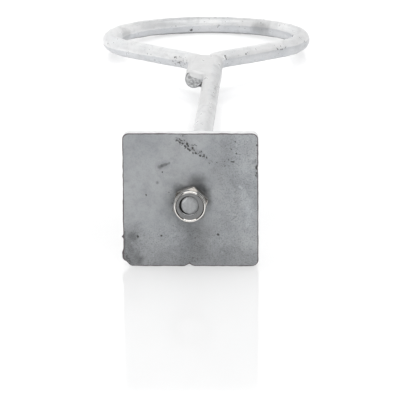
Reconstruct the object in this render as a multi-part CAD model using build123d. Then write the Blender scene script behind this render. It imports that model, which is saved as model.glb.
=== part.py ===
from build123d import *
import math
import os

# Ring anchor bolt: a round bar bent into a closed ring with a folded-back tail, a square
# anchor plate strung on its threaded end, and a lock nut with a nylon insert.
#
# Frame, in millimetres: the origin is on the bolt's axis, in the plate's bearing face.
# The shaft runs along +Y to the ring, the ring lies in the XY plane, and +Z is up.
# The nut is on the -Y side of the plate.

# Bar
bar_diameter = 12.0
shaft_length = 460.0          # bearing face to the start of the neck bend
neck_to_ring = 95.0           # neck bend to the ring's centre, along the shaft
ring_outer_diameter = 150.0
ring_offset = 9.2             # ring's centre, to the tail's side of the shaft
bend_inner_radius = 3.0       # inside of the two tight bends at the neck
tail_bend_lead = 7.0          # the tail bends this much nearer the plate than the shaft
tail_length = 66.0            # straight tail, from its bend to the sawn end
tail_gap = 0.2                # slit between the tail and the shaft

# Weld bead that closes the neck
weld_width = 17.6
weld_height = 11.2
weld_overhang = 3.0           # past the sawn end of the tail
weld_fork_reach = 4.0         # into the fork between the two arms
weld_lift = 1.7               # middle of the bead above the bars' axes
weld_end_round = 7.0
weld_root_radius = 3.3        # fill between the two bars on the underside
weld_root_depth = 2.5         # middle of that fill below the bars' axes

# Thread on the plate's end of the shaft
thread_diameter = 11.8
thread_length = 62.0
thread_run_out = 1.2
bolt_end_flat = 9.2           # diameter of the flat left by the end chamfer

# Anchor plate
plate_side = 75.0
plate_thickness = 8.0
plate_corner_radius = 3.6
plate_edge_bevel = 0.5
plate_hole_diameter = 14.5
plate_seat_gap = 0.05         # the hole's lower side rests on the thread
worn_corner_leg = 4.0         # battered lower corner on the tail's side
nick_width = 4.6
nick_depth = 1.3
nick_centre_x = -0.8

# Lock nut
nut_across_flats = 18.0
nut_height = 12.0
nut_hex_height = 8.0
nut_face_diameter = 17.0      # flat circle that the 30 degree chamfers leave
nut_chamfer_angle = 30.0
nut_turn = 13.0               # first corner, clockwise from up as seen from the nut's side
collar_diameter = 17.6
collar_wall = 0.9
collar_edge_bevel = 0.8       # the lip's crown is where this bevel ends
lip_opening = 14.2
lip_thickness = 0.8
lip_land = 0.2                # straight edge of the opening, before the lip flares out
nut_thread_gap = 0.05
nut_countersink = 0.8

# Nylon insert
insert_height = 2.9
insert_bore = 11.0
insert_gap = 0.03
insert_edge_bevel = 0.4

bolt_end_recess = 4.2         # bolt's end behind the mouth of the nut

# Worked-out sizes
bar_radius = bar_diameter / 2
bend_radius = bend_inner_radius + bar_radius
ring_radius = ring_outer_diameter / 2 - bar_radius
tail_x = -(bar_diameter + tail_gap)
ring_centre = Vector(-ring_offset, shaft_length + neck_to_ring)
tail_bend_y = shaft_length - tail_bend_lead
tail_end_y = tail_bend_y - tail_length
nut_seat_y = -plate_thickness
bolt_end_y = nut_seat_y - nut_height + bolt_end_recess
thread_end_y = bolt_end_y + thread_length
plate_lift = (plate_hole_diameter - thread_diameter) / 2 - plate_seat_gap


def heading_vector(degrees):
    return Vector(math.cos(math.radians(degrees)), math.sin(math.radians(degrees)))


def arm_heading(bend_centre, side):
    """Direction of the straight arm that leaves a neck bend and joins the ring tangentially.

    side is 1 for the arm on the shaft's side and -1 for the one on the tail's side.
    """
    across = ring_centre - bend_centre
    direct = math.degrees(math.atan2(across.Y, across.X))
    turn = math.degrees(math.asin((bend_radius + ring_radius) / across.length))
    return direct - side * turn


def bar_path():
    """Centre line of the bar: shaft, bend, arm, ring, arm, bend and tail."""
    shaft_bend = Vector(bend_radius, shaft_length)
    tail_bend = Vector(tail_x - bend_radius, tail_bend_y)
    out_angle = arm_heading(shaft_bend, 1)
    back_angle = arm_heading(tail_bend, -1)
    out_normal = heading_vector(out_angle + 90)
    back_normal = heading_vector(back_angle + 90)

    arm_start = shaft_bend + out_normal * bend_radius
    ring_start = ring_centre - out_normal * ring_radius
    ring_end = ring_centre + back_normal * ring_radius
    arm_end = tail_bend - back_normal * bend_radius
    ring_sweep = 180 + back_angle - out_angle

    shaft = Line((0, thread_end_y), (0, shaft_length))
    first_bend = CenterArc(shaft_bend, bend_radius, 180, -(90 - out_angle))
    first_arm = Line(arm_start, ring_start)
    ring = CenterArc(ring_centre, ring_radius, out_angle - 90, ring_sweep)
    second_arm = Line(ring_end, arm_end)
    second_bend = CenterArc(tail_bend, bend_radius, back_angle - 90, 90 - back_angle)
    tail = Line((tail_x, tail_bend_y), (tail_x, tail_end_y))
    return Wire([shaft, first_bend, first_arm, ring, second_arm, second_bend, tail])


def threaded_end():
    """Shank of the thread's outer diameter, with a chamfered end and a short run-out."""
    thread_radius = thread_diameter / 2
    end_radius = bolt_end_flat / 2
    end_chamfer = thread_radius - end_radius
    outline = Polyline(
        (0, bolt_end_y),
        (end_radius, bolt_end_y),
        (thread_radius, bolt_end_y + end_chamfer),
        (thread_radius, thread_end_y - thread_run_out),
        (bar_radius, thread_end_y),
        (0, thread_end_y),
        close=True,
    )
    return revolve(make_face(outline), Axis.Y)


def ring_bar():
    section = Plane((0, thread_end_y, 0), z_dir=(0, 1, 0)) * Circle(bar_radius)
    bent_bar = sweep(section, path=bar_path())
    return bent_bar + threaded_end()


def neck_weld(bar):
    """Bead run along the groove between tail and shaft, lapped over the tail's sawn end.

    It goes through the slit between the bars to a smaller fill on the underside, which stops
    flush with the sawn end.
    """
    start_y = tail_end_y - weld_overhang
    length = tail_length + weld_overhang + weld_fork_reach
    end_round = min(weld_end_round, weld_width * 0.45)
    round_bead = extrude(Plane.XZ * Circle(weld_width / 2), -length)
    round_bead = fillet(round_bead.edges().filter_by(GeomType.CIRCLE), end_round)
    bead = scale(round_bead, by=(1, 1, weld_height / weld_width))
    bead = Pos(tail_x / 2, start_y, weld_lift) * bead
    below = Pos(tail_x / 2, start_y + length / 2, -bar_diameter / 2) * Box(
        2 * weld_width, 2 * length, bar_diameter
    )
    root = Plane((tail_x / 2, tail_end_y, -weld_root_depth), z_dir=(0, 1, 0)) * Circle(weld_root_radius)
    root = extrude(root, tail_length)
    return largest_solid((bead - below) + root - bar)


def largest_solid(shape):
    return max(shape.solids(), key=lambda solid: solid.volume)


def anchor_plate():
    """Square plate that stands on its lower edge and hangs by its hole on the thread."""
    half = plate_side / 2
    face = Plane((0, 0, plate_lift), x_dir=(1, 0, 0), z_dir=(0, -1, 0))
    outline = Rectangle(plate_side, plate_side)
    whole_corners = outline.vertices().sort_by(low_on_tail_side)[1:]
    outline = fillet(whole_corners, plate_corner_radius)
    worn_corner = outline.vertices().sort_by(low_on_tail_side)[0]
    outline = chamfer(worn_corner, worn_corner_leg)
    blank = extrude(face * outline, plate_thickness)
    blank = chamfer(blank.edges().filter_by(lies_in_face), plate_edge_bevel)

    hole = Plane((0, 0, plate_lift), z_dir=(0, -1, 0)) * Circle(plate_hole_diameter / 2)
    nick = Polyline(
        (nick_centre_x - nick_width / 2, -half),
        (nick_centre_x, -half + nick_depth),
        (nick_centre_x + nick_width / 2, -half),
        (nick_centre_x, -half - nick_depth),
        close=True,
    )
    return blank - extrude(hole, plate_thickness) - extrude(face * make_face(nick), plate_thickness)


def low_on_tail_side(corner):
    """Sorts the outline's corners, with the lower one on the tail's side first."""
    return corner.X + corner.Y


def lies_in_face(edge):
    """True for the edges round the plate's two large faces."""
    return edge.bounding_box().size.Y < 0.01


def nut_body():
    """Hexagon with chamfered corners, and a round collar crimped over the insert."""
    corner_radius = nut_across_flats / math.sqrt(3)
    face_radius = nut_face_diameter / 2
    corner_drop = (corner_radius - face_radius) * math.tan(math.radians(nut_chamfer_angle))
    hexagon = RegularPolygon(corner_radius, 6, rotation=90 - nut_turn)
    prism = extrude(hexagon, nut_hex_height)
    turned = revolve_outline(
        (0, 0),
        (face_radius, 0),
        (corner_radius, corner_drop),
        (corner_radius, nut_hex_height - corner_drop),
        (face_radius, nut_hex_height),
        (0, nut_hex_height),
    )

    collar_radius = collar_diameter / 2
    collar = extrude(Circle(collar_radius), nut_height)
    collar = chamfer(collar.edges().sort_by(Axis.Z)[-1], collar_edge_bevel)
    body = (prism & turned) + collar

    bore_radius = thread_diameter / 2 + nut_thread_gap
    pocket_top = nut_height - lip_thickness
    crown_radius = collar_radius - collar_edge_bevel
    cavity = revolve_outline(
        (0, 0),
        (bore_radius + nut_countersink, 0),
        (bore_radius, nut_countersink),
        (bore_radius, pocket_top - insert_height),
        (collar_radius - collar_wall, pocket_top - insert_height),
        (collar_radius - collar_wall, pocket_top),
        (lip_opening / 2, pocket_top),
        (lip_opening / 2, pocket_top + lip_land),
        (crown_radius, nut_height),
        (0, nut_height),
    )
    return on_bolt_axis(body - cavity)


def nut_insert():
    """Nylon ring held in the collar, with a bore smaller than the thread."""
    pocket_top = nut_height - lip_thickness
    outer_radius = collar_diameter / 2 - collar_wall - insert_gap
    ring = extrude(Circle(outer_radius) - Circle(insert_bore / 2), insert_height)
    inner_rims = ring.edges().filter_by(GeomType.CIRCLE).sort_by(SortBy.RADIUS)[:2]
    ring = chamfer(inner_rims, insert_edge_bevel)
    return on_bolt_axis(Pos(0, 0, pocket_top - insert_height) * ring)


def revolve_outline(*points):
    """Solid turned about Z from an outline in the XZ plane."""
    return revolve(make_face(Plane.XZ * Polyline(*points, close=True)), Axis.Z)


def on_bolt_axis(shape):
    """Moves a nut piece built upwards on Z to its seat on the plate, facing -Y."""
    return Pos(0, nut_seat_y, 0) * Rot(90, 0, 0) * shape


bar = ring_bar()
nodes = {
    "ring_bar": bar,
    "neck_weld": neck_weld(bar),
    "anchor_plate": anchor_plate(),
    "lock_nut": nut_body(),
    "nut_insert": nut_insert(),
}

os.makedirs("parts", exist_ok=True)
for name, shape in nodes.items():
    export_step(shape, f"parts/{name}.step")
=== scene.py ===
import math

import bpy
import numpy as np
from mathutils import Matrix, Vector


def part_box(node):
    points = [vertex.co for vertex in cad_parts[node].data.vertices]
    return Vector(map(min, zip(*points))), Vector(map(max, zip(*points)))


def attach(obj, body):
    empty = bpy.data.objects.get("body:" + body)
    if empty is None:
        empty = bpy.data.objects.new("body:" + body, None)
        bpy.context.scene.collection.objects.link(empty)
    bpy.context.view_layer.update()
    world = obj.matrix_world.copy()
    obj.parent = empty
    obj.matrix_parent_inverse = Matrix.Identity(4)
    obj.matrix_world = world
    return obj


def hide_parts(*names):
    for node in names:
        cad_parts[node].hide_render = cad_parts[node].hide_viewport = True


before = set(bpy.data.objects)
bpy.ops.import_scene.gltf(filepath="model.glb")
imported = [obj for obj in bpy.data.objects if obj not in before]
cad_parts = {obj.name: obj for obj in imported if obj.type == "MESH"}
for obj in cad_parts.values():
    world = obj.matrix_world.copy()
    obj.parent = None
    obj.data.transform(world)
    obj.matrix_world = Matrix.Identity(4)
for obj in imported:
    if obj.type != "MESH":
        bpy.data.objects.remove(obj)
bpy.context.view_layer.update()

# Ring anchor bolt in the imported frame, in metres. Each metal surface is drawn from a signed
# distance field, the zinc and steel are procedural, and the camera is the photograph's.

MM = 0.001

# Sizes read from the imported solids
BAR_LOW, BAR_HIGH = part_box("ring_bar")
PLATE_LOW, PLATE_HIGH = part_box("anchor_plate")
NUT_LOW, NUT_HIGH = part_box("lock_nut")
INSERT_LOW, INSERT_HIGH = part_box("nut_insert")
WELD_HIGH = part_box("neck_weld")[1]

BAR_RADIUS = (BAR_HIGH.z - BAR_LOW.z) / 2
RING_RADIUS = (BAR_HIGH.x - BAR_LOW.x) / 2 - BAR_RADIUS
RING_CENTRE = Vector(((BAR_HIGH.x + BAR_LOW.x) / 2, BAR_HIGH.y - BAR_RADIUS - RING_RADIUS, 0))

# The neck, as in the solids: two tight bends side by side
NECK_TO_RING = 95 * MM
TAIL_GAP = 0.2 * MM
TAIL_BEND_LEAD = 7 * MM
TAIL_LENGTH = 66 * MM
BEND_INNER_RADIUS = 3 * MM
NECK_Y = RING_CENTRE.y - NECK_TO_RING
TAIL_X = -2 * BAR_RADIUS - TAIL_GAP
TAIL_BEND_Y = NECK_Y - TAIL_BEND_LEAD
TAIL_END_Y = TAIL_BEND_Y - TAIL_LENGTH
BEND_RADIUS = BAR_RADIUS + BEND_INNER_RADIUS

# Weld in the groove between tail and shaft, its lip, and the fill on the underside
WELD_START_Y = TAIL_END_Y + 9.6 * MM
WELD_END_Y = TAIL_BEND_Y - 6 * MM
WELD_LEVEL = 1.6 * MM
WELD_HALF_WIDTH = 7.4 * MM
WELD_HALF_HEIGHT = 4.9 * MM
WELD_LIP_START = Vector((TAIL_X + 0.8 * MM, TAIL_END_Y + 1.4 * MM, 4.0 * MM))
WELD_LIP_END = Vector((TAIL_X + 6.0 * MM, TAIL_END_Y + 0.8 * MM, 3.2 * MM))
WELD_LIP_HALF_WIDTH = 3.2 * MM
WELD_LIP_HALF_HEIGHT = 2.0 * MM
WELD_LIP_BLEND = 4 * MM
ROOT_RADIUS = 3.3 * MM
ROOT_DEPTH = 2.5 * MM
ZINC_FILLET = 2.2 * MM
WELD_FILLET = 2.6 * MM

# Thread at the plate's end of the shaft
THREAD_RADIUS = 5.9 * MM
THREAD_PITCH = 1.75 * MM
THREAD_DEPTH = 1.0 * MM
THREAD_LENGTH = 62 * MM
THREAD_END_Y = BAR_LOW.y + THREAD_LENGTH
THREAD_RUN_OUT = 1.2 * MM
BOLT_FLAT_RADIUS = 4.6 * MM

# Plate
PLATE_CORNER_RADIUS = 3.6 * MM
PLATE_HOLE_RADIUS = 7.25 * MM
PLATE_RIM_ROUND = 0.7 * MM
WORN_CORNER_LEG = 4.0 * MM
NICK_X = -0.8 * MM
NICK_HALF_WIDTH = 2.3 * MM
NICK_DEPTH = 1.3 * MM
NICK_SLANT = 0.85
BURR_RADIUS = 0.6 * MM
BULGE_RADIUS = 1.8 * MM
BURR_BLEND = 1.2 * MM

# Lock nut
NUT_SEAT_Y = PLATE_LOW.y
NUT_HEX_HEIGHT = 8 * MM
NUT_FLAT_RADIUS = 9 * MM
NUT_FACE_RADIUS = 8.5 * MM
NUT_CHAMFER_ANGLE = math.radians(30)
NUT_TURN = math.radians(13)
NUT_THREAD_GAP = 0.05 * MM
COLLAR_RADIUS = 8.8 * MM
COLLAR_WALL = 0.9 * MM
COLLAR_ROUND = 1.6 * MM
LIP_RADIUS = 7.25 * MM
CROWN_RADIUS = 8.1 * MM
LIP_THICKNESS = 0.8 * MM
LIP_LAND = 0.2 * MM
INSERT_BORE_RADIUS = 5.4 * MM
INSERT_RIM_ROUND = 0.45 * MM
BORE_SHIFT = Vector((-0.55, 0, 0.4)) * MM

# Grid cells that the surfaces are drawn from, and the angles from which an edge is sharp
BAR_CELL = 0.9 * MM
PLATE_CELL = 0.5 * MM
NUT_CELL = 0.165 * MM
SHARP_ANGLE = math.radians(38)
NUT_SHARP_ANGLE = math.radians(80)

# Smooth zinc run over the weld and down one side of the shaft
RUN_START_Y = 258 * MM

# Darker patches on the bar, stains and one painted shade on the right end, in millimetres: ends of a line,
# radius and how much light is left
BAR_STAINS_AND_SHADE = (
    ((-69, 574, 0), (-66, 579, -1), 5, 0.74),
    ((27, 608.5, 0), (35, 603, 0), 4, 0.68),
    # Painted shade along the right end, which faces away from the light
    ((60, 518, 3), (65, 575, 3), 10, 0.87),
    ((-24, 462, -2), (-28, 464, -2), 5, 0.88),
    ((14, 466, -1), (50, 504, -1), 6, 0.90),
    ((-2, 257.5, 6), (2, 257, 6), 0.8, 0.75),
    ((-14.7, 417, 6), (-12, 446, 6), 0.35, 0.82),
    ((0.4, 459, 6), (3.7, 465, 6), 0.5, 0.70),
)
# Pitted stretches of the bar, in millimetres: ends of a line and radius
PIT_CLUSTERS = (
    ((-21, 455, 1), (-29, 465, 0), 3.5),
    ((43, 502, 1), (48, 507, 2), 2.5),
    ((59, 532, 5), (63, 535, 1), 2.2),
    ((5, 461, 2), (7, 463, 2), 2),
    ((4, 296, 5), (5, 356, 3), 1.6),
)
# Single pits in the bar, in millimetres: centre and radius
BAR_SPECKS = (
    ((-78.7, 527.5, 1.5), 0.6),
    ((-46.1, 483.8, 1.0), 0.6),
    ((-43.2, 480.4, 0.7), 0.6),
    ((21.3, 478.2, 2.0), 0.6),
    ((-22.2, 617.5, -3.1), 1.0),
    ((-0.7, 196.6, 5.9), 0.8),
)

# Marks on the plate's outer face, stains and the nut's painted shadow, in millimetres: ends of a line as
# (x, z), radius, light left
FACE_STAINS_AND_NUT_SHADOW = (
    # Painted shadow cast by the nut on the face above and right of it, partly a dark stain
    ((3, 8.5), (3.5, 11), 4.6, 0.46),
    ((-6.5, 7), (7.5, 7.5), 2.3, 0.50),
    ((8.5, 6), (9.5, 1), 2.2, 0.48),
    ((-34, -18), (-33, -32), 4.5, 0.84),
    ((2, -16), (4, -24), 5, 0.93),
    ((-9, 5), (-10, -1), 1.6, 0.86),
    ((4, -18), (2, -24), 8, 0.74),
    ((-14, -30), (18, -30), 5, 0.92),
    ((0, -16), (6, -24), 5, 0.92),
    ((-33, -19), (-31, -33), 6, 0.84),
    ((16, 14), (19, 30), 7, 0.92),
    ((20, -27), (24, -25), 5, 0.90),
    ((-28, 6), (-22, 14), 9, 1.05),
    ((30, 24), (32, 36), 8, 1.10),
    ((8, 31), (14, 34), 5, 1.05),
    ((33, 14), (33, -20), 6, 1.07),
    ((29, 6), (30, -4), 2.0, 1.16),
    ((33, 0), (32, -12), 2.0, 1.16),
    ((-12, -12), (-24, -8), 5, 1.05),
)
# Smaller marks on that face, with firmer edges
FACE_SMUDGES = (
    ((-17.2, 20.0), (-13.5, 21.2), 2.2, 0.84),
    ((-17.2, 19.8), (-15.8, 20.2), 0.9, 0.62),
    ((-15.6, 20.6), (-13.6, 21.3), 0.7, 0.56),
    ((-12.8, 21.4), (-11.6, 22.2), 0.5, 0.62),
    ((-18.2, 10.9), (-18.2, 11.4), 0.6, 0.55),
    ((-32.5, -19), (-31.5, -20), 2.0, 0.72),
    ((-35, -22), (-33, -27), 1.5, 0.82),
    ((-30, -31), (-29, -28), 1.2, 0.82),
    ((-28.3, -34), (-27.5, -31.5), 1.3, 0.7),
    ((-37, -17), (-37, -26.5), 0.8, 0.6),
    ((35.4, 23), (34.8, 22.4), 0.9, 0.75),
    ((22.5, -10), (25, -8), 0.3, 0.75),
    ((25, -8), (26, -5.5), 0.3, 0.75),
    ((-8, 34.7), (0.5, 28), 0.5, 1.2),
    ((27, 9), (28, 8.2), 0.7, 1.35),
    ((-32.6, -21.6), (-32.4, -22.8), 0.5, 1.3),
    ((17.2, -28), (17.4, -28.1), 0.5, 1.2),
    ((1, -13), (2.4, -12.8), 0.6, 1.15),
)
# Gritty patches on that face: ends of a line as (x, z), radius and strength
FACE_GRIT = (
    ((-7.5, 35.5), (-1.5, 31), 1.5, 0.95),
    ((-4, 35), (2, 31), 2.2, 0.55),
    ((-1.5, 30.5), (8, 26), 1.1, 0.85),
    ((5, 28), (11, 23), 1.2, 0.45),
    ((-6, 37.5), (-3, 37.5), 0.9, 0.7),
    ((-11, 7), (-10, 1), 1.6, 0.4),
    ((-36.4, -30.5), (-34.5, -35), 2.0, 0.9),
    ((-6, -13), (2, -19), 4.0, 0.22),
    ((4, -23), (9, -25), 3.0, 0.30),
    ((-3, -33), (2, -33), 2.5, 0.45),
    ((36.5, 24), (36.5, 15), 1.0, 0.8),
    ((20, 22), (27, 27), 3.0, 0.25),
)
# Single pits in that face: x, z and radius
FACE_PITS = (
    (-29.3, -19.2, 0.6),
    (-16.2, -18.7, 0.5),
    (15.1, -18.1, 0.6),
    (22.8, 22.9, 0.45),
    (23.7, 22.8, 0.45),
    (21.0, 24.0, 0.35),
    (25.4, 27.4, 0.38),
    (22.7, 30.0, 0.3),
    (24.8, 34.1, 0.35),
    (14.5, 22.3, 0.3),
    (-15.5, 17.0, 0.4),
    (-24.5, 4.2, 0.4),
    (36.9, 19.5, 1.1),
    (36.6, 32.0, 0.5),
    (-7.4, 34.9, 0.4),
    (-5.7, 33.7, 0.6),
    (-4.3, 33.0, 0.5),
    (-2.9, 31.6, 0.55),
    (-1.7, 32.8, 0.7),
    (-1.0, 31.6, 0.5),
    (-1.4, 30.2, 0.5),
    (-0.3, 29.3, 0.55),
    (1.3, 30.4, 0.6),
    (1.5, 27.7, 0.45),
    (3.0, 27.6, 0.5),
    (5.4, 26.3, 0.55),
    (6.2, 28.6, 0.35),
    (7.6, 26.7, 0.4),
    (9.0, 25.1, 0.45),
)

# Photograph's camera, fitted to the outlines in a 416 pixel wide frame
IMAGE_WIDTH = 416
FOCAL_PIXELS = 3163.6
CAMERA_PLACE = Vector((0.06417, -1.71049, 0.36545))
CAMERA_YAW = math.radians(1.835)
CAMERA_PITCH = math.radians(12.208)
CAMERA_ROLL = math.radians(0.2615)

# Studio light, as radiance
NEAR_FLOOR_GLOW = 0.31
FAR_FLOOR_GLOW = 0.49
OVERHEAD_GLOW = 1.15
BEHIND_GLOW = 0.2
LEFT_PANEL_GLOW = 2.6
RIGHT_PANEL_GLOW = 2.2
FRONT_PANEL_GLOW = 2.4
SKY_GLOW = 0.10
BACK_GLOW = 0.95
FRONT_GLOW = 0.12


# Signed distance fields: negative inside, in metres, for an array of points


def length_of(vectors):
    return np.sqrt((vectors * vectors).sum(-1))


def to_segment(points, start, end):
    start = np.array(start)
    along = np.array(end) - start
    share = np.clip(((points - start) @ along) / max(along @ along, 1e-12), 0, 1)
    return length_of(points - start - share[:, None] * along)


def to_arc(points, centre, radius, start_angle, sweep):
    """Distance to an arc in the XY plane, counted from start_angle through sweep radians."""
    local = points - np.array(centre)
    middle = start_angle + sweep / 2
    turned = np.arctan2(local[:, 1], local[:, 0]) - middle
    turned = (turned + math.pi) % (2 * math.pi) - math.pi
    angle = middle + np.clip(turned, -abs(sweep) / 2, abs(sweep) / 2)
    nearest = radius * np.stack([np.cos(angle), np.sin(angle), np.zeros_like(angle)], 1)
    return length_of(local - nearest)


def join(first, second, blend):
    """Union with a fillet about as wide as blend."""
    share = np.clip(0.5 + 0.5 * (second - first) / blend, 0, 1)
    return second * (1 - share) + first * share - blend * share * (1 - share)


def common(first, second, blend):
    """Intersection with its edge rounded about as wide as blend."""
    return -join(-first, -second, blend)


def cut(first, second, blend):
    """The first form less the second."""
    return common(first, -second, blend)


def heading(angle):
    return Vector((math.cos(angle), math.sin(angle), 0))


def at(place):
    """Vector in metres from a place in millimetres."""
    return Vector(place) * MM


def neck_arm(bend_centre, side):
    """Heading of the arm that leaves a neck bend and meets the ring tangentially."""
    across = RING_CENTRE - bend_centre
    direct = math.atan2(across.y, across.x)
    return direct - side * math.asin((BEND_RADIUS + RING_RADIUS) / across.length)


def bar_route():
    """Straight runs and arcs of the bar's centre line, for the shaft's side, tail's side and ring."""
    first_centre = Vector((BEND_RADIUS, NECK_Y, 0))
    second_centre = Vector((TAIL_X - BEND_RADIUS, TAIL_BEND_Y, 0))
    out_angle = neck_arm(first_centre, 1)
    back_angle = neck_arm(second_centre, -1)
    quarter = math.pi / 2
    out_normal = heading(out_angle + quarter)
    back_normal = heading(back_angle + quarter)
    return {
        "first_bend": (first_centre, BEND_RADIUS, math.pi, out_angle - quarter),
        "first_arm": (first_centre + out_normal * BEND_RADIUS, RING_CENTRE - out_normal * RING_RADIUS),
        "ring": (RING_CENTRE, RING_RADIUS, out_angle - quarter, math.pi + back_angle - out_angle),
        "second_arm": (RING_CENTRE + back_normal * RING_RADIUS, second_centre - back_normal * BEND_RADIUS),
        "second_bend": (second_centre, BEND_RADIUS, back_angle - quarter, quarter - back_angle),
    }


ROUTE = bar_route()


def bead(points, start, end, half_width, half_height):
    """Rounded bead along a line, wider than it is high."""
    flat = np.array((1, 1, half_width / half_height))
    return (to_segment(points * flat, np.array(start) * flat, np.array(end) * flat) - half_width) / flat[2]


def bar_field(points):
    """Bent bar with its weld, and the zinc that fills the corners between them."""
    y = points[:, 1]
    first = np.minimum.reduce([
        to_segment(points, (0, THREAD_END_Y - 1 * MM, 0), (0, NECK_Y, 0)),
        to_arc(points, *ROUTE["first_bend"]),
        to_segment(points, *ROUTE["first_arm"]),
    ]) - BAR_RADIUS
    # The tail and the fill under it run past the sawn end and are cut off there
    tail_start_y = TAIL_END_Y - 10 * MM
    second = np.minimum.reduce([
        to_segment(points, (TAIL_X, tail_start_y, 0), (TAIL_X, TAIL_BEND_Y, 0)),
        to_arc(points, *ROUTE["second_bend"]),
        to_segment(points, *ROUTE["second_arm"]),
    ]) - BAR_RADIUS
    root_start = (TAIL_X / 2, tail_start_y, -ROOT_DEPTH)
    root_end = (TAIL_X / 2, TAIL_BEND_Y, -ROOT_DEPTH)
    root = to_segment(points, root_start, root_end) - ROOT_RADIUS
    second = join(second, root, 1.5 * MM)
    second = common(second, TAIL_END_Y - y, 0.5 * MM)
    ring = to_arc(points, *ROUTE["ring"]) - BAR_RADIUS
    start = common(first, THREAD_END_Y - y, THREAD_RUN_OUT)
    bars = np.minimum(join(start, second, ZINC_FILLET), ring)
    return join(bars, weld_field(points), WELD_FILLET)


def weld_field(points):
    """Run of weld along the groove, and its lip that sags over the tail's sawn end."""
    run_start = (TAIL_X / 2, WELD_START_Y, WELD_LEVEL)
    run_end = (TAIL_X / 2, WELD_END_Y, WELD_LEVEL)
    run = bead(points, run_start, run_end, WELD_HALF_WIDTH, WELD_HALF_HEIGHT)
    lip = bead(points, WELD_LIP_START, WELD_LIP_END, WELD_LIP_HALF_WIDTH, WELD_LIP_HALF_HEIGHT)
    return join(run, lip, WELD_LIP_BLEND)


def plate_outline(points):
    """Distance to the plate's outline in its own plane: worn corner and nick, but no hole."""
    half = (PLATE_HIGH.x - PLATE_LOW.x) / 2
    x = points[:, 0] - (PLATE_HIGH.x + PLATE_LOW.x) / 2
    z = points[:, 2] - (PLATE_HIGH.z + PLATE_LOW.z) / 2
    corner = half - PLATE_CORNER_RADIUS
    over_x = np.maximum(np.abs(x) - corner, 0)
    over_z = np.maximum(np.abs(z) - corner, 0)
    inner = np.minimum(np.maximum(np.abs(x), np.abs(z)) - corner, 0)
    outline = np.hypot(over_x, over_z) + inner - PLATE_CORNER_RADIUS
    worn = (-x - z - 2 * half + WORN_CORNER_LEG) / math.sqrt(2)
    outline = common(outline, worn, 1.0 * MM)
    # NICK_SLANT turns the height over the nick's sloping sides into nearly a distance
    nick = np.abs(points[:, 0] - NICK_X) * NICK_DEPTH / NICK_HALF_WIDTH + (z + half) - NICK_DEPTH
    return cut(outline, nick * NICK_SLANT, 0.4 * MM)


def plate_field(points):
    """Square plate with rounded rims, a hole, and a burr and a bulge on its battered side."""
    centre_y = (PLATE_HIGH.y + PLATE_LOW.y) / 2
    centre_z = (PLATE_HIGH.z + PLATE_LOW.z) / 2
    half_thickness = (PLATE_HIGH.y - PLATE_LOW.y) / 2
    hole = np.hypot(points[:, 0], points[:, 2] - centre_z) - PLATE_HOLE_RADIUS
    outline = cut(plate_outline(points), hole, 0.3 * MM)
    plate = common(outline, np.abs(points[:, 1] - centre_y) - half_thickness, PLATE_RIM_ROUND)
    burr = to_segment(points, on_side(-37.0, 1.3, -19.0), on_side(-38.0, 1.1, -19.5))
    bulge = to_segment(points, on_side(-36.6, 1.9, -28.6), on_side(-36.6, 2.2, -31.6))
    plate = join(plate, burr - BURR_RADIUS, BURR_BLEND)
    return join(plate, bulge - BULGE_RADIUS, BURR_BLEND)


def on_side(x, depth, z):
    """Place near the plate's battered side, from x, depth behind the outer face and z in millimetres."""
    return (x * MM, PLATE_LOW.y + depth * MM, z * MM)


def nut_field(points):
    """Chamfered hexagon with a collar crimped over the insert."""
    up = NUT_SEAT_Y - points[:, 1]
    radius = np.hypot(points[:, 0], points[:, 2])
    angle = np.arctan2(points[:, 0], points[:, 2]) - NUT_TURN
    sector = (angle + math.pi / 6) % (math.pi / 3) - math.pi / 6
    flats = radius * np.cos(np.abs(sector) - math.pi / 6) - NUT_FLAT_RADIUS
    rise, run = math.cos(NUT_CHAMFER_ANGLE), math.sin(NUT_CHAMFER_ANGLE)
    top_cone = (radius - NUT_FACE_RADIUS) * run + (up - NUT_HEX_HEIGHT) * rise
    foot_cone = (radius - NUT_FACE_RADIUS) * run - up * rise
    edge = 0.25 * MM
    hexagon = common(flats, common(top_cone, foot_cone, edge), edge)
    hexagon = common(hexagon, np.maximum(-up, up - NUT_HEX_HEIGHT), edge)
    height = NUT_HIGH.y - NUT_LOW.y
    collar = common(radius - COLLAR_RADIUS, np.maximum(-up, up - height), COLLAR_ROUND)
    body = join(hexagon, collar, 0.35 * MM)
    pocket_floor = NUT_SEAT_Y - INSERT_HIGH.y
    pocket_top = height - LIP_THICKNESS
    pocket_ends = np.maximum(pocket_floor - up, up - pocket_top)
    pocket = np.maximum(radius - COLLAR_RADIUS + COLLAR_WALL, pocket_ends)
    funnel = ((radius - LIP_RADIUS) - (up - pocket_top)) * math.sin(math.pi / 4)
    mouth = np.maximum(np.maximum(funnel, radius - CROWN_RADIUS), pocket_top - LIP_LAND - up)
    bore = radius - THREAD_RADIUS - NUT_THREAD_GAP
    body = cut(body, join(pocket, mouth, 0.1 * MM), 0.2 * MM)
    return cut(body, bore, 0.3 * MM)


# Meshes


def cell_corners(values):
    """The eight corner arrays of every cell of a grid of values."""
    ends = (slice(None, -1), slice(1, None))
    return {(i, j, k): values[ends[i], ends[j], ends[k]] for i in (0, 1) for j in (0, 1) for k in (0, 1)}


def crossing_means(values, low, cell):
    """Mean of the zero crossings on each cell's edges, and which cells have any."""
    corners = cell_corners(values)
    shape = corners[0, 0, 0].shape
    total = np.zeros(shape + (3,))
    count = np.zeros(shape)
    for start, first in corners.items():
        for axis in range(3):
            if start[axis] == 1:
                continue
            end = tuple(1 if i == axis else start[i] for i in range(3))
            second = corners[end]
            crossed = (first < 0) != (second < 0)
            share = np.where(crossed, first / np.where(crossed, first - second, 1), 0)
            place = np.array(start) + share[..., None] * (np.arange(3) == axis)
            total += np.where(crossed[..., None], place, 0)
            count += crossed
    mixed = count > 0
    cells = np.argwhere(mixed)
    means = total[mixed] / count[mixed][:, None]
    return low + cell * (cells + means), mixed


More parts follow.
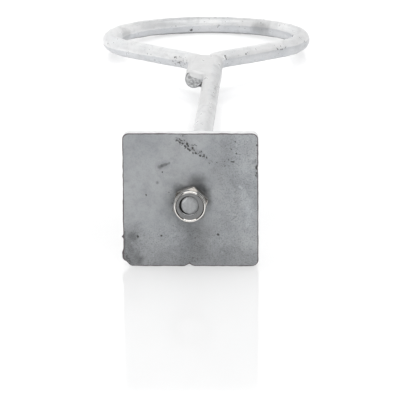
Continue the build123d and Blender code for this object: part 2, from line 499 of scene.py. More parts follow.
def crossing_quads(values, index):
    """One quad round each grid edge that the surface crosses, facing outwards."""
    inside = values < 0
    quads = []
    for axis in range(3):
        side, up = (axis + 1) % 3, (axis + 2) % 3
        here = np.moveaxis(inside, (axis, side, up), (0, 1, 2))
        cells = np.moveaxis(index, (axis, side, up), (0, 1, 2))
        first, second = here[:-1, 1:-1, 1:-1], here[1:, 1:-1, 1:-1]
        ring = np.stack([cells[:, :-1, :-1], cells[:, 1:, :-1], cells[:, 1:, 1:], cells[:, :-1, 1:]], -1)
        leaving = first & ~second
        entering = second & ~first
        quads += [ring[leaving], ring[entering][:, ::-1]]
    return np.concatenate(quads)


def pull_onto(points, field, cell):
    """Newton steps that bring mesh points onto the field's zero level."""
    step = cell * 0.02
    for _ in range(4):
        value = field(points)
        slope = np.stack([
            (field(points + step * np.eye(3)[axis]) - field(points - step * np.eye(3)[axis])) / (2 * step)
            for axis in range(3)
        ], 1)
        size = np.maximum((slope * slope).sum(1), 1e-3)
        move = slope * (value / size)[:, None]
        reach = length_of(move)[:, None]
        points = points - move * np.minimum(1, cell / np.maximum(reach, 1e-12))
    return points


def surface_of(field, low, high, cell):
    """Points and quads of a field's zero level, one point in each crossed cell of a grid."""
    low = np.array(low) - 2.37 * cell
    counts = np.ceil((np.array(high) + 2 * cell - low) / cell).astype(int) + 1
    axes = [low[i] + cell * np.arange(counts[i]) for i in range(3)]
    grid = np.stack(np.meshgrid(*axes, indexing="ij"), -1).reshape(-1, 3)
    values = field(grid).reshape(counts)
    points, mixed = crossing_means(values, low, cell)
    index = np.full(mixed.shape, -1)
    index[mixed] = np.arange(len(points))
    return pull_onto(points, field, cell), crossing_quads(values, index)


def add_piece(name, shells, material, sharp_angle=SHARP_ANGLE):
    """One mesh object from a list of (points, faces), smooth shaded."""
    points, faces = [], []
    for shell_points, shell_faces in shells:
        start = len(points)
        points += [tuple(p) for p in shell_points]
        faces += [tuple(int(i) + start for i in face) for face in shell_faces]
    mesh = bpy.data.meshes.new(name)
    mesh.from_pydata(points, [], faces)
    mesh.validate()
    mesh.shade_smooth()
    mesh.set_sharp_from_angle(angle=sharp_angle)
    mesh.materials.append(material)
    piece = bpy.data.objects.new(name, mesh)
    bpy.context.scene.collection.objects.link(piece)
    return piece


def waves(points, size, seed):
    """Smooth random values of about -1 to 1 that rise and fall over lengths near size."""
    random = np.random.default_rng(seed)
    directions = random.normal(size=(16, 3))
    directions *= 2 * math.pi / size / length_of(directions)[:, None]
    directions *= random.uniform(0.7, 1.4, (16, 1))
    return np.sin(points @ directions.T + random.uniform(0, 2 * math.pi, 16)).sum(1) / 4


def lumps(points, size, seed):
    """Uneven random values of -1 to 1, smooth between the corners of a lattice of the given size."""
    side = 64
    levels = np.random.default_rng(seed).uniform(-1, 1, (side, side, side))
    place = points / size
    base = np.floor(place).astype(int)
    share = place - base
    share = share * share * (3 - 2 * share)
    total = np.zeros(len(points))
    for corner in np.ndindex(2, 2, 2):
        weight = np.prod(np.where(corner, share, 1 - share), axis=1)
        i, j, k = ((base + corner) % side).T
        total += weight * levels[i, j, k]
    return total


def blot(points, start, end, radius, soft=0.5):
    """1 within radius of a line between two points, falling smoothly to 0 just outside."""
    distance = to_segment(points, start, end)
    share = np.clip((radius - distance) / (soft * radius) + 0.5, 0, 1)
    return share * share * (3 - 2 * share)


def read_vectors(mesh, name):
    """The co or the normal of every point of a mesh, one row each."""
    values = np.empty(len(mesh.vertices) * 3, np.float32)
    mesh.vertices.foreach_get(name, values)
    return values.reshape(-1, 3).astype(float)


def press_relief(piece, height_at, marks_at=None):
    """Moves points along their normals by height_at and stores marks_at as attributes for the paint."""
    mesh = piece.data
    points, normals = read_vectors(mesh, "co"), read_vectors(mesh, "normal")
    marks = marks_at(points, normals) if marks_at else {}
    for name, values in marks.items():
        layer = mesh.attributes.new(name, "FLOAT", "POINT")
        layer.data.foreach_set("value", values.astype(np.float32))
    points += normals * height_at(points, normals)[:, None]
    mesh.vertices.foreach_set("co", points.astype(np.float32).ravel())
    mesh.update()


def turned_shell(outline, turns=96):
    """Closed shell turned about the bolt's axis from (radius, y) points; radius 0 is a pole."""
    points, rows = [], []
    for radius, y in outline:
        if radius < 1e-9:
            rows.append([len(points)] * turns)
            points.append((0, y, 0))
            continue
        rows.append(list(range(len(points), len(points) + turns)))
        for turn in range(turns):
            angle = 2 * math.pi * turn / turns
            points.append((radius * math.sin(angle), y, radius * math.cos(angle)))
    faces = []
    for lower, upper in zip(rows, rows[1:] + rows[:1]):
        for turn in range(turns):
            after = (turn + 1) % turns
            loop = []
            for corner in (lower[turn], lower[after], upper[after], upper[turn]):
                if corner not in loop:
                    loop.append(corner)
            if len(loop) > 2:
                faces.append(loop)
    return points, faces


def thread_shell():
    """Threaded end of the shaft: a helical V groove, cut by a chamfer at the bolt's end and fading out
    towards the bar.
    """
    turns = 72
    per_pitch = 14
    # The groove's depth falls to nothing over 1 / flank of a pitch on each side
    flank = 2.4
    start_y = BAR_LOW.y
    stop_y = THREAD_END_Y + 2 * MM
    rows = int((stop_y - start_y) / THREAD_PITCH * per_pitch)
    points = [(0, start_y, 0)]
    for row in range(rows + 1):
        y = start_y + (stop_y - start_y) * row / rows
        for turn in range(turns):
            angle = 2 * math.pi * turn / turns
            phase = ((y - start_y) / THREAD_PITCH - turn / turns) % 1
            groove = max(0.0, 1 - abs(phase - 0.5) * flank)
            fade = min(1.0, max(0.0, (THREAD_END_Y - 2 * MM - y) / (3 * MM)))
            crest = min(THREAD_RADIUS, BOLT_FLAT_RADIUS + (y - start_y))
            radius = min(crest, THREAD_RADIUS - THREAD_DEPTH * groove * fade)
            if y > THREAD_END_Y:
                radius = BAR_RADIUS - 0.4 * MM
            points.append((radius * math.sin(angle), y, radius * math.cos(angle)))
    points.append((0, stop_y, 0))
    faces = []
    last = 1 + rows * turns
    for turn in range(turns):
        after = (turn + 1) % turns
        faces.append((0, 1 + after, 1 + turn))
        faces.append((len(points) - 1, last + turn, last + after))
        for row in range(rows):
            near, far = 1 + row * turns, 1 + (row + 1) * turns
            faces.append((near + turn, near + after, far + after, far + turn))
    return points, faces


# Materials


class Paint:
    """Adds nodes to one material; sizes are in metres and places in the object's frame."""

    def __init__(self, name):
        self.material = bpy.data.materials.new(name)
        self.material.use_nodes = True
        self.tree = self.material.node_tree
        self.shader = self.tree.nodes["Principled BSDF"]
        self.place = self.add("ShaderNodeTexCoord").outputs["Object"]

    def add(self, kind, values=None, **settings):
        node = self.tree.nodes.new(kind)
        for name, value in settings.items():
            setattr(node, name, value)
        for name, value in (values or {}).items():
            if isinstance(value, bpy.types.NodeSocket):
                self.tree.links.new(value, node.inputs[name])
            else:
                node.inputs[name].default_value = value
        return node

    def noise(self, size, detail=3.0, roughness=0.55, distortion=0.0, shift=(0, 0, 0), stretch=(1, 1, 1)):
        moved = self.add("ShaderNodeVectorMath", {0: self.place, 1: shift}, operation="ADD")
        scaled = self.add("ShaderNodeVectorMath", {0: moved.outputs[0], 1: stretch}, operation="MULTIPLY")
        return self.add("ShaderNodeTexNoise", {
            "Vector": scaled.outputs[0],
            "Scale": 1 / size,
            "Detail": detail,
            "Roughness": roughness,
            "Distortion": distortion,
        })

    def band(self, value, low, high):
        """0 below low, 1 above high, smooth between; low may be the larger."""
        return self.add("ShaderNodeMapRange", {
            "Value": value, "From Min": low, "From Max": high, "To Min": 0.0, "To Max": 1.0,
        }, interpolation_type="SMOOTHSTEP").outputs[0]

    def ramp(self, value, low, high, from_level, to_level):
        """Straight ramp from one level to another as value goes from low to high."""
        return self.add("ShaderNodeMapRange", {
            "Value": value, "From Min": low, "From Max": high, "To Min": from_level, "To Max": to_level,
        }).outputs[0]

    def blot(self, start, end, radius, soft=0.5, wobble=0.0, wobble_size=3 * MM):
        """1 near a line between two places, 0 outside, its edge soft and, with wobble, uneven."""
        start, end = Vector(start), Vector(end)
        place = self.place
        if wobble:
            rough = self.noise(wobble_size, 2.0).outputs["Color"]
            centred = self.vector("SUBTRACT", rough, (0.5, 0.5, 0.5))
            place = self.vector("ADD", place, self.vector("MULTIPLY", centred, (wobble, wobble, wobble)))
        away = self.vector("SUBTRACT", place, tuple(start))
        along = end - start
        if along.length > 0:
            per_length = tuple(along / along.length_squared)
            share = self.vector("DOT_PRODUCT", away, per_length, "Value")
            clamped = self.add("ShaderNodeClamp", {"Value": share}).outputs[0]
            away = self.vector("SUBTRACT", away, self.scale(tuple(along), clamped))
        return self.band(self.length(away), radius * (1 + soft), radius * (1 - soft))

    def vector(self, operation, first, second, output="Vector"):
        node = self.add("ShaderNodeVectorMath", {0: first, 1: second}, operation=operation)
        return node.outputs[output]

    def scale(self, vector, factor):
        node = self.add("ShaderNodeVectorMath", {0: vector, "Scale": factor}, operation="SCALE")
        return node.outputs["Vector"]

    def length(self, vector):
        return self.add("ShaderNodeVectorMath", {0: vector}, operation="LENGTH").outputs["Value"]

    def off_axis(self, x=0.0):
        """Distance from a line that runs along Y at the given x and at z 0."""
        away = self.vector("SUBTRACT", self.place, (x, 0, 0))
        return self.length(self.vector("MULTIPLY", away, (1, 0, 1)))

    def attribute(self, name):
        return self.add("ShaderNodeAttribute", attribute_name=name).outputs["Fac"]

    def axis(self, name):
        return self.add("ShaderNodeSeparateXYZ", {0: self.place}).outputs[name]

    def shade(self, colour, share, factor):
        """Darkens or lightens a colour by factor where share is 1."""
        return self.scale(colour, self.ramp(share, 0.0, 1.0, 1.0, factor))

    def tint(self, colour, factors):
        return self.vector("MULTIPLY", colour, factors)

    def math(self, operation, first, second=0.0):
        return self.add("ShaderNodeMath", {0: first, 1: second}, operation=operation).outputs[0]

    def times(self, first, second):
        return self.math("MULTIPLY", first, second)

    def uneven(self, value, noise, amount):
        """Value moved up or down by up to half of amount, following a noise of 0 to 1."""
        return self.math("ADD", value, self.times(self.math("SUBTRACT", noise, 0.5), amount))

    def mix(self, share, under, over):
        """Colour mix; share is a number or a socket."""
        node = self.add("ShaderNodeMix", data_type="RGBA")
        for socket, value in ((node.inputs[0], share), (node.inputs[6], under), (node.inputs[7], over)):
            if isinstance(value, bpy.types.NodeSocket):
                self.tree.links.new(value, socket)
            elif isinstance(value, tuple):
                socket.default_value = (*value, 1)
            else:
                socket.default_value = value
        return node.outputs[2]

    def set(self, name, value):
        socket = self.shader.inputs[name]
        if isinstance(value, bpy.types.NodeSocket):
            self.tree.links.new(value, socket)
        elif isinstance(value, tuple):
            socket.default_value = (*value, 1)
        else:
            socket.default_value = value

    def bump(self, height, strength, distance, under=None):
        values = {"Height": height, "Strength": strength, "Distance": distance}
        if under is not None:
            values["Normal"] = under
        return self.add("ShaderNodeBump", values).outputs[0]


def grey(value, blue=1.0):
    """Grey of the given level, a little bluer where blue is above 1."""
    return (value * (2 - blue), value, value * blue)


def bar_material():
    """Hot-dip zinc: pale and slightly glossy, smooth over the weld, blotched and pitted elsewhere, with
    painted shade where the bar faces away from the light.
    """
    paint = Paint("galvanised_bar")
    x, y, z = (paint.axis(name) for name in "XYZ")
    along = (1.0, 0.35, 1.0)
    cloud = paint.noise(22 * MM, 3.0, stretch=along).outputs["Fac"]
    mottle = paint.noise(5 * MM, 4.0, 0.6, stretch=along).outputs["Fac"]
    fleck = paint.noise(1.7 * MM, 3.0, 0.6).outputs["Fac"]
    grain = paint.noise(0.8 * MM, 2.0).outputs["Fac"]

    # Zinc run, smoother than the rest
    run = paint.band(paint.uneven(x, cloud, 3 * MM), 0.7 * MM, -0.3 * MM)
    run = paint.times(run, paint.band(z, 0.0, 2.5 * MM))
    run = paint.times(run, paint.band(y, RUN_START_Y, RUN_START_Y + 9 * MM))
    run = paint.times(run, paint.band(y, NECK_Y, NECK_Y - 6 * MM))
    rough = paint.math("SUBTRACT", 1.0, run)

    # Clouds and blotches
    colour = paint.mix(paint.band(cloud, 0.38, 0.62), grey(0.86, 1.002), grey(0.79, 1.012))
    colour = paint.shade(colour, paint.times(paint.band(mottle, 0.50, 0.70), rough), 0.90)
    colour = paint.shade(colour, paint.times(paint.band(fleck, 0.54, 0.72), rough), 0.93)
    colour = paint.mix(run, colour, grey(0.80))

    # Greyer shaft, and painted shade: the ring's far side, the shaft's right side and the bar's lower half
    # darker, away from the light, and a painted contact shadow along the belly
    near = paint.band(y, NECK_Y - 2 * MM, NECK_Y - 14 * MM)
    colour = paint.shade(colour, near, 0.90)
    shaft = paint.band(y, TAIL_END_Y - 2 * MM, TAIL_END_Y - 12 * MM)
    colour = paint.shade(colour, shaft, 0.945)
    # Painted shade: the ring's far side is darker
    far = paint.band(y, RING_CENTRE.y + 20 * MM, RING_CENTRE.y + 50 * MM)
    colour = paint.shade(colour, far, 0.90)
    # Painted shade on the shaft's right side, which faces away from the light
    colour = paint.shade(colour, paint.times(near, paint.band(x, 0.0, 4 * MM)), 0.88)
    # Painted shade: the bar's lower half is darker and bluer, below a soft line
    level = paint.math("SUBTRACT", z, paint.times(x, 0.02))
    low = paint.band(paint.uneven(level, mottle, 2 * MM), 1.0 * MM, 0.1 * MM)
    colour = paint.mix(low, colour, paint.tint(colour, (0.76, 0.77, 0.79)))
    # Painted contact shadow along the belly, deepest on the far side, which rests on the floor
    painted_belly_shadow = paint.band(z, -4.5 * MM, -5.4 * MM)
    colour = paint.shade(colour, painted_belly_shadow, 0.70)
    colour = paint.shade(colour, paint.times(painted_belly_shadow, far), 0.42)

    # Stains, painted shade on the right end, pits and specks
    for start, end, radius, factor in BAR_STAINS_AND_SHADE:
        stain_and_shade = paint.blot(at(start), at(end), radius * MM, 0.6, 3 * MM)
        colour = paint.shade(colour, stain_and_shade, factor)
    colour = paint.mix(paint.band(paint.attribute("pit"), 0.15, 0.7), colour, grey(0.10))
    specks = paint.noise(1.5 * MM, 2.0, 0.5, shift=(0.3, 0.1, 0.2)).outputs["Fac"]
    specks = paint.math("ADD", specks, paint.times(paint.attribute("grit"), 0.13))
    specks = paint.band(specks, 0.705, 0.76)
    colour = paint.mix(paint.times(specks, rough), colour, grey(0.16))

    # The tail's sawn face: mottled, with a paler band inside a dark rim
    cut = paint.band(paint.attribute("sawn"), 0.3, 0.7)
    sawn = paint.noise(1.8 * MM, 4.0, 0.6, 0.6, shift=(0.1, 0.2, 0.3)).outputs["Fac"]
    cut_colour = paint.mix(paint.band(sawn, 0.40, 0.60), grey(0.34, 1.01), grey(0.60, 1.01))
    ragged = paint.uneven(paint.off_axis(TAIL_X), sawn, 2.0 * MM)
    cut_colour = paint.shade(cut_colour, paint.band(ragged, 4.2 * MM, 5.0 * MM), 1.25)
    cut_colour = paint.mix(paint.band(ragged, 5.1 * MM, 5.6 * MM), cut_colour, grey(0.10))
    colour = paint.mix(cut, colour, cut_colour)

    # The bolt's end, seen through the nut, with a painted highlight on its upper-left edge, and the thread
    # round it painted near-black as shade deep in the bore
    end_y = BAR_LOW.y
    bolt_end = paint.band(y, end_y + 0.5 * MM, end_y + 0.2 * MM)
    end_colour = paint.mix(paint.band(sawn, 0.35, 0.65), grey(0.46, 1.02), grey(0.38, 1.02))
    # Painted highlight on the bolt end's upper-left edge
    painted_glint = paint.blot((-4.0 * MM, end_y, 1.8 * MM), (-1.8 * MM, end_y, 4.0 * MM), 0.5 * MM)
    end_colour = paint.shade(end_colour, painted_glint, 1.5)
    # Painted shade: the thread round the bolt's end is near-black, deep in the nut's bore
    thread = paint.band(y, end_y + 6 * MM, end_y + 4 * MM)
    colour = paint.mix(thread, colour, grey(0.05))
    colour = paint.mix(bolt_end, colour, end_colour)

    paint.set("Base Color", colour)
    paint.set("Metallic", 0.30)
    paint.set("Specular IOR Level", 0.3)
    paint.set("Roughness", paint.ramp(mottle, 0.3, 0.7, 0.26, 0.42))
    relief = paint.bump(paint.times(mottle, rough), 0.35, 0.35 * MM)
    relief = paint.bump(paint.times(fleck, rough), 0.3, 0.12 * MM, relief)
    relief = paint.bump(grain, 0.2, 0.05 * MM, relief)
    relief = paint.bump(paint.times(sawn, cut), 0.8, 0.8 * MM, relief)
    relief = paint.bump(paint.math("SUBTRACT", 1.0, specks), 0.5, 0.2 * MM, relief)
    paint.set("Normal", relief)
    return paint.material


def plate_material():
    """Dull, stained face, with the nut's shadow and a shade towards the bottom painted on; paler zinc on
    the edges and the bearing side.
    """
    paint = Paint("galvanised_plate")
    x, y, z = (paint.axis(name) for name in "XYZ")
    cloud = paint.noise(26 * MM, 3.0, 0.55, 0.5).outputs["Fac"]
    drift = paint.noise(9 * MM, 3.0, 0.55, 0.8, shift=(0.2, 0.0, 0.1)).outputs["Fac"]
    mottle = paint.noise(3.2 * MM, 5.0, 0.62).outputs["Fac"]
    grain = paint.noise(0.7 * MM, 2.0).outputs["Fac"]
    pale = paint.noise(1.0 * MM, 3.0, 0.6, shift=(0.5, 0.2, 0.1)).outputs["Fac"]

    # Clouds, and a grain that is coarser on the right and low down
    colour = paint.mix(paint.band(cloud, 0.34, 0.66), grey(0.37, 1.03), grey(0.325, 1.045))
    colour = paint.shade(colour, paint.band(drift, 0.40, 0.66), 0.91)
    colour = paint.shade(colour, paint.band(mottle, 0.46, 0.66), 0.92)
    right = paint.band(x, 6 * MM, 24 * MM)
    low = paint.band(z, -8 * MM, -20 * MM)
    coarse = paint.ramp(paint.math("MAXIMUM", right, low), 0.0, 1.0, 0.3, 1.0)
    colour = paint.shade(colour, paint.times(paint.band(grain, 0.50, 0.66), coarse), 0.72)
    colour = paint.shade(colour, paint.times(paint.band(pale, 0.58, 0.70), coarse), 1.22)

    # Stains, the nut's painted shadow, smudges, and painted shade towards the bottom
    for start, end, radius, factor in FACE_STAINS_AND_NUT_SHADOW:
        stain_and_shade = paint.blot(on_face(start), on_face(end), radius * MM, 0.75, 5 * MM, 5 * MM)
        colour = paint.shade(colour, stain_and_shade, factor)
    for start, end, radius, factor in FACE_SMUDGES:
        smudge = paint.blot(on_face(start), on_face(end), radius * MM, 0.7, 1.4 * MM, 1.5 * MM)
        colour = paint.shade(colour, smudge, factor)
    # Painted shade: the face darker towards the bottom, where it reflects the shadowed floor by the
    # plate's foot
    painted_foot_shade = paint.band(z, PLATE_LOW.z + 15 * MM, PLATE_LOW.z + 1 * MM)
    colour = paint.shade(colour, painted_foot_shade, 0.80)

    # Grit and pits
    gritty = paint.noise(1.3 * MM, 3.0, 0.6, shift=(0.4, 0.0, 0.3)).outputs["Fac"]
    grit = paint.attribute("grit")
    colour = paint.shade(colour, grit, 0.95)
    specks = paint.band(paint.math("ADD", gritty, paint.times(grit, 0.15)), 0.635, 0.72)
    specks = paint.times(specks, paint.band(grit, 0.02, 0.2))
    colour = paint.mix(specks, colour, grey(0.10))
    colour = paint.mix(paint.band(paint.attribute("pit"), 0.12, 0.6), colour, grey(0.07))

    # Dark worn rim round the face, and bare zinc on the edges and the back
    ragged = paint.uneven(paint.attribute("rim"), mottle, 0.8)
    colour = paint.shade(colour, paint.band(ragged, 0.15, 0.4), 1.12)
    colour = paint.mix(paint.band(ragged, 0.50, 0.78), colour, (0.115, 0.10, 0.105))
    depth = paint.uneven(y, mottle, 0.5 * MM)
    face = paint.band(depth, PLATE_LOW.y + 0.85 * MM, PLATE_LOW.y + 0.55 * MM)
    zinc = paint.mix(paint.band(mottle, 0.4, 0.65), grey(0.80, 1.005), grey(0.72, 1.01))
    colour = paint.mix(face, zinc, colour)

    paint.set("Base Color", colour)
    paint.set("Metallic", 0.25)
    paint.set("Roughness", paint.ramp(mottle, 0.3, 0.7, 0.42, 0.6))
    relief = paint.bump(mottle, 0.3, 0.25 * MM)
    relief = paint.bump(grain, 0.25, 0.06 * MM, relief)
    relief = paint.bump(paint.math("SUBTRACT", 1.0, specks), 0.6, 0.25 * MM, relief)
    paint.set("Normal", relief)
    return paint.material


def on_face(place):
    """Place on the plate's outer face, from x and z in millimetres."""
    return (place[0] * MM, PLATE_LOW.y, place[1] * MM)


def nut_material():
    """Bright turned steel; the collar is smoother than the hexagon, whose lower half is painted dark as
    shade for the shadowed floor and plate that its facets reflect.
    """
    paint = Paint("bright_steel")
    x, z = paint.axis("X"), paint.axis("Z")
    grain = paint.noise(1.2 * MM, 3.0).outputs["Fac"]
    radius = paint.off_axis()
    hexagon = paint.band(radius, COLLAR_RADIUS - 0.05 * MM, COLLAR_RADIUS + 0.25 * MM)
    colour = paint.mix(paint.band(grain, 0.4, 0.7), (0.98, 0.96, 0.93), (0.90, 0.87, 0.83))

    # Painted shade in the lip's funnel: dark at its sides, standing in for the dark room they reflect, and
    # left bright at its top and bottom
    funnel = paint.times(
        paint.band(radius, CROWN_RADIUS - 0.1 * MM, CROWN_RADIUS - 0.2 * MM),
        paint.band(radius, LIP_RADIUS + 0.1 * MM, LIP_RADIUS + 0.25 * MM),
    )
    funnel = paint.times(funnel, paint.band(z, -5.5 * MM, -4 * MM))
    funnel = paint.times(funnel, paint.band(paint.math("ABSOLUTE", x), 3.0 * MM, 4.5 * MM))
    colour = paint.shade(colour, funnel, 0.15)

    # Painted shade: the hexagon's lower half is much darker, for the shadowed floor and plate its facets
    # reflect
    under = paint.band(z, 1.5 * MM, -1.5 * MM)
    colour = paint.mix(hexagon, colour, paint.mix(under, (0.62, 0.59, 0.55), (0.24, 0.235, 0.23)))
    paint.set("Base Color", colour)
    paint.set("Metallic", 1.0)
    paint.set("Roughness", paint.ramp(hexagon, 0.0, 1.0, 0.10, 0.22))
    paint.set("Normal", paint.bump(grain, 0.1, 0.03 * MM))
    return paint.material


def nylon_material():
    """Satin grey, with painted light low in the bore behind the rim, which is paler where the lower wall
    is lit.
    """
    paint = Paint("nylon")
    y, z = paint.axis("Y"), paint.axis("Z")
    grain = paint.noise(1.5 * MM, 3.0).outputs["Fac"]
    colour = paint.mix(paint.band(z, 5 * MM, -8 * MM), grey(0.16, 1.01), grey(0.155, 1.01))
    colour = paint.shade(colour, grain, 1.15)
    # Painted light: paler low in the bore behind the rim, on the lit lower wall
    painted_bore_light = paint.band(y, INSERT_LOW.y + 0.3 * MM, INSERT_LOW.y + 0.9 * MM)
    low = paint.band(z, -3.0 * MM, -4.6 * MM)
    colour = paint.mix(paint.times(painted_bore_light, low), colour, grey(0.62, 1.02))
    paint.set("Base Color", colour)
    paint.set("Roughness", 0.42)
    paint.set("Normal", paint.bump(grain, 0.1, 0.05 * MM))
    return paint.material


def floor_material():
    """Pale lit table, a little brighter under the ring than under the plate."""
    paint = Paint("floor")
    paint.set("Base Color", (0.6, 0.6, 0.6))
    paint.set("Roughness", 0.08)
    paint.set("Specular IOR Level", 0.2)
    paint.set("Emission Color", (1.0, 1.0, 1.0))
    glow = paint.ramp(paint.axis("Y"), 0.1, 0.45, NEAR_FLOOR_GLOW, FAR_FLOOR_GLOW)
    paint.set("Emission Strength", glow)
    return paint.material


# Relief


def bar_marks(points, normals):
    """Pits and grit in the zinc, and the tail's sawn face."""
    pits = np.zeros(len(points))
    for centre, radius in BAR_SPECKS:
        pits = np.maximum(pits, blot(points, at(centre), at(centre), radius * MM, 0.6))
    grit = np.zeros(len(points))
    for start, end, radius in PIT_CLUSTERS:
        grit = np.maximum(grit, blot(points, at(start), at(end), radius * MM, 0.9))
    on_bar = points[:, 1] > THREAD_END_Y
    at_cut = (np.abs(points[:, 1] - TAIL_END_Y) < 0.5 * MM) & (normals[:, 1] < -0.8)
    return {"pit": pits * on_bar, "grit": grit * on_bar, "sawn": 1.0 * at_cut}


def bar_relief(points, normals):
    """Height of the zinc's swells and pits over the plain bar; none on the thread."""
    swell = 0.09 * waves(points, 16 * MM, 1) + 0.05 * waves(points, 6 * MM, 2)
    swell += 0.03 * lumps(points, 2.2 * MM, 3)
    marks = bar_marks(points, normals)
    swell += 0.2 * marks["sawn"] * lumps(points, 2.5 * MM, 4)
    on_bar = np.clip((points[:, 1] - THREAD_END_Y) / (6 * MM), 0, 1)
    return swell * on_bar * MM - 0.3 * MM * marks["pit"]


def plate_marks(points, normals):
    """Pits, grit and worn rim of the plate's outer face."""
    front = np.clip((PLATE_LOW.y + 1.2 * MM - points[:, 1]) / (0.6 * MM), 0, 1)
    grit = np.zeros(len(points))
    for start, end, radius, level in FACE_GRIT:
        grit = np.maximum(grit, level * blot(points, on_face(start), on_face(end), radius * MM, 0.8))
    pits = np.zeros(len(points))
    for x, z, radius in FACE_PITS:
        pits = np.maximum(pits, blot(points, on_face((x, z)), on_face((x, z)), radius * MM, 0.6))
    rim = np.clip((plate_outline(points) + 1.1 * MM) / (0.6 * MM), 0, 1)
    return {"pit": pits * front, "grit": grit * front, "rim": rim * front}


def plate_relief(points, normals):
    """Height over the plain plate, lowered a little so that its swells stay within it."""
    marks = plate_marks(points, normals)
    edge = np.clip((plate_outline(points) + 0.8 * MM) / (0.8 * MM), 0, 1)
    swell = 0.05 * waves(points, 18 * MM, 12) + 0.03 * lumps(points, 4 * MM, 13)
    ragged = 0.12 * edge * lumps(points, 2.5 * MM, 14)
    gritty = 0.25 * marks["grit"] * np.minimum(lumps(points, 1.3 * MM, 15), 0)
    return (swell + ragged - 0.15 + gritty - 0.28 * marks["pit"]) * MM


def nut_relief(points, normals):
    return 0.008 * MM * waves(points, 2.2 * MM, 31)


# Pieces


def add_bar():
    low = (BAR_LOW.x, THREAD_END_Y, BAR_LOW.z)
    high = (BAR_HIGH.x, BAR_HIGH.y, max(BAR_HIGH.z, WELD_HIGH.z))
    shells = [surface_of(bar_field, low, high, BAR_CELL), thread_shell()]
    piece = add_piece("ring_bar_zinc", shells, bar_material())
    press_relief(piece, bar_relief, bar_marks)
    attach(piece, "root")
    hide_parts("ring_bar", "neck_weld")
    return piece


def add_plate():
    room_for_burr = Vector((2 * MM, 0, 0))
    shell = surface_of(plate_field, PLATE_LOW - room_for_burr, PLATE_HIGH, PLATE_CELL)
    piece = add_piece("plate_zinc", [shell], plate_material())
    press_relief(piece, plate_relief, plate_marks)
    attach(piece, "root")
    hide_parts("anchor_plate")
    return piece


def add_nut():
    shell = surface_of(nut_field, NUT_LOW, NUT_HIGH, NUT_CELL)
    piece = add_piece("lock_nut_body", [shell], nut_material(), NUT_SHARP_ANGLE)
    press_relief(piece, nut_relief)
    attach(piece, "root")
    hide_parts("lock_nut")
    return piece


def add_insert():
    """Nylon ring turned about the bolt's axis, its bore then shifted a little."""
    outer = (INSERT_HIGH.x - INSERT_LOW.x) / 2
    front, back = INSERT_LOW.y, INSERT_HIGH.y
    bore = INSERT_BORE_RADIUS
    angles = np.linspace(0, math.pi / 2, 6)
    rim = INSERT_RIM_ROUND
    corner = [(bore + rim * (1 - math.sin(a)), front + rim * (1 - math.cos(a))) for a in angles]
    points, faces = turned_shell([(outer, back), (outer, front)] + corner + [(bore, back)])
    inner = [math.hypot(x, z) < outer - 0.1 * MM for x, y, z in points]
    points = [Vector(p) + BORE_SHIFT if moves else p for p, moves in zip(points, inner)]
    piece = add_piece("nylon_ring", [(points, faces)], nylon_material())
    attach(piece, "root")
    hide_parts("nut_insert")
    return piece


# Stage


def rest_plane():
    """Height at the plate and slope of the floor that the plate's edge and the ring's far side touch."""
    far_y = RING_CENTRE.y + RING_RADIUS
    drop = -PLATE_LOW.z
    reach = far_y - PLATE_HIGH.y
    slope = math.atan2(drop, reach) - math.asin(BAR_RADIUS / math.hypot(reach, drop))
    return PLATE_LOW.z, slope


def add_floor():
    height, slope = rest_plane()
    half = 30.0
    mesh = bpy.data.meshes.new("floor")
    corners = [(-half, -half), (half, -half), (half, half), (-half, half)]
    lift = math.tan(slope)
    points = [(x, y, height + lift * (y - PLATE_HIGH.y)) for x, y in corners]
    mesh.from_pydata(points, [], [(0, 1, 2, 3)])
    mesh.materials.append(floor_material())
    floor = bpy.data.objects.new("floor", mesh)
    bpy.context.scene.collection.objects.link(floor)


def add_area_light(name, place, target, width, length, radiance, in_reflections=True):
    """Rectangle of light; radiance is what a surface in front of it would see."""
    light = bpy.data.lights.new(name, "AREA")
    light.shape = "RECTANGLE"
    light.size = width
    light.size_y = length
    light.energy = radiance * math.pi * width * length
    lamp = bpy.data.objects.new(name, light)
    lamp.location = place
    lamp.rotation_euler = (Vector(target) - Vector(place)).to_track_quat("-Z", "Y").to_euler()
    lamp.visible_glossy = in_reflections
    bpy.context.scene.collection.objects.link(lamp)


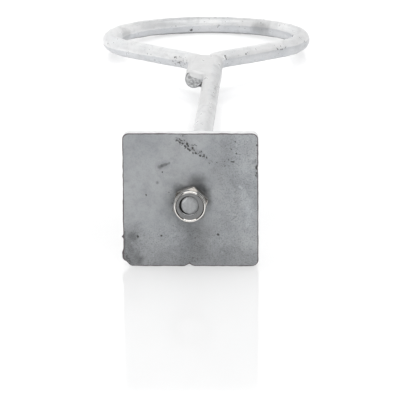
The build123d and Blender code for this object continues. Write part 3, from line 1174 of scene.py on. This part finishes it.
def add_lights():
    add_area_light("overhead", (0.0, -0.1, 1.25), (0.0, -0.1, 0.0), 1.5, 2.2, OVERHEAD_GLOW)
    add_area_light("behind", (-0.2, 1.7, 1.2), (0.0, 0.1, 0.0), 1.3, 1.3, BEHIND_GLOW)
    add_area_light("left_panel", (-1.6, -0.3, 1.0), (0.0, 0.3, 0.0), 1.3, 1.3, LEFT_PANEL_GLOW, False)
    add_area_light("right_panel", (1.5, -1.6, 0.7), (0.0, 0.3, 0.0), 1.6, 1.6, RIGHT_PANEL_GLOW, False)
    add_area_light("front_panel", (0.3, -2.4, 1.0), (0.0, 0.3, 0.0), 2.0, 2.0, FRONT_PANEL_GLOW, False)


def add_surround():
    """Room round the table: pale behind the object, dark overhead, at the sides and at the front."""
    world = bpy.data.worlds.new("studio")
    world.use_nodes = True
    tree = world.node_tree
    place = tree.nodes.new("ShaderNodeTexCoord")
    split = tree.nodes.new("ShaderNodeSeparateXYZ")
    tree.links.new(place.outputs["Generated"], split.inputs[0])

    def band(axis, low, high, low_level, high_level):
        node = tree.nodes.new("ShaderNodeMapRange")
        node.interpolation_type = "SMOOTHSTEP"
        tree.links.new(split.outputs[axis], node.inputs["Value"])
        levels = {"From Min": low, "From Max": high, "To Min": low_level, "To Max": high_level}
        for name, value in levels.items():
            node.inputs[name].default_value = value
        return node.outputs[0]

    low = band("Y", 0.0, 0.3, FRONT_GLOW, BACK_GLOW)
    level = tree.nodes.new("ShaderNodeMix")
    tree.links.new(band("Z", 0.6, 0.8, 0.0, 1.0), level.inputs["Factor"])
    tree.links.new(low, level.inputs["A"])
    level.inputs["B"].default_value = SKY_GLOW
    background = tree.nodes["Background"]
    background.inputs["Color"].default_value = (1, 1, 1, 1)
    tree.links.new(level.outputs["Result"], background.inputs["Strength"])
    bpy.context.scene.world = world


def add_camera():
    """The photograph's camera."""
    camera_data = bpy.data.cameras.new("camera")
    camera_data.sensor_fit = "HORIZONTAL"
    camera_data.sensor_width = 36
    camera_data.lens = camera_data.sensor_width * FOCAL_PIXELS / IMAGE_WIDTH
    camera_data.clip_end = 50
    camera = bpy.data.objects.new("camera", camera_data)
    turn = (
        Matrix.Rotation(CAMERA_YAW, 4, "Z")
        @ Matrix.Rotation(math.pi / 2 - CAMERA_PITCH, 4, "X")
        @ Matrix.Rotation(-CAMERA_ROLL, 4, "Z")
    )
    camera.matrix_world = Matrix.Translation(CAMERA_PLACE) @ turn
    bpy.context.scene.collection.objects.link(camera)
    bpy.context.scene.camera = camera


add_bar()
add_plate()
add_nut()
add_insert()
add_floor()
add_lights()
add_surround()
add_camera()
bpy.context.scene.view_settings.view_transform = "Standard"
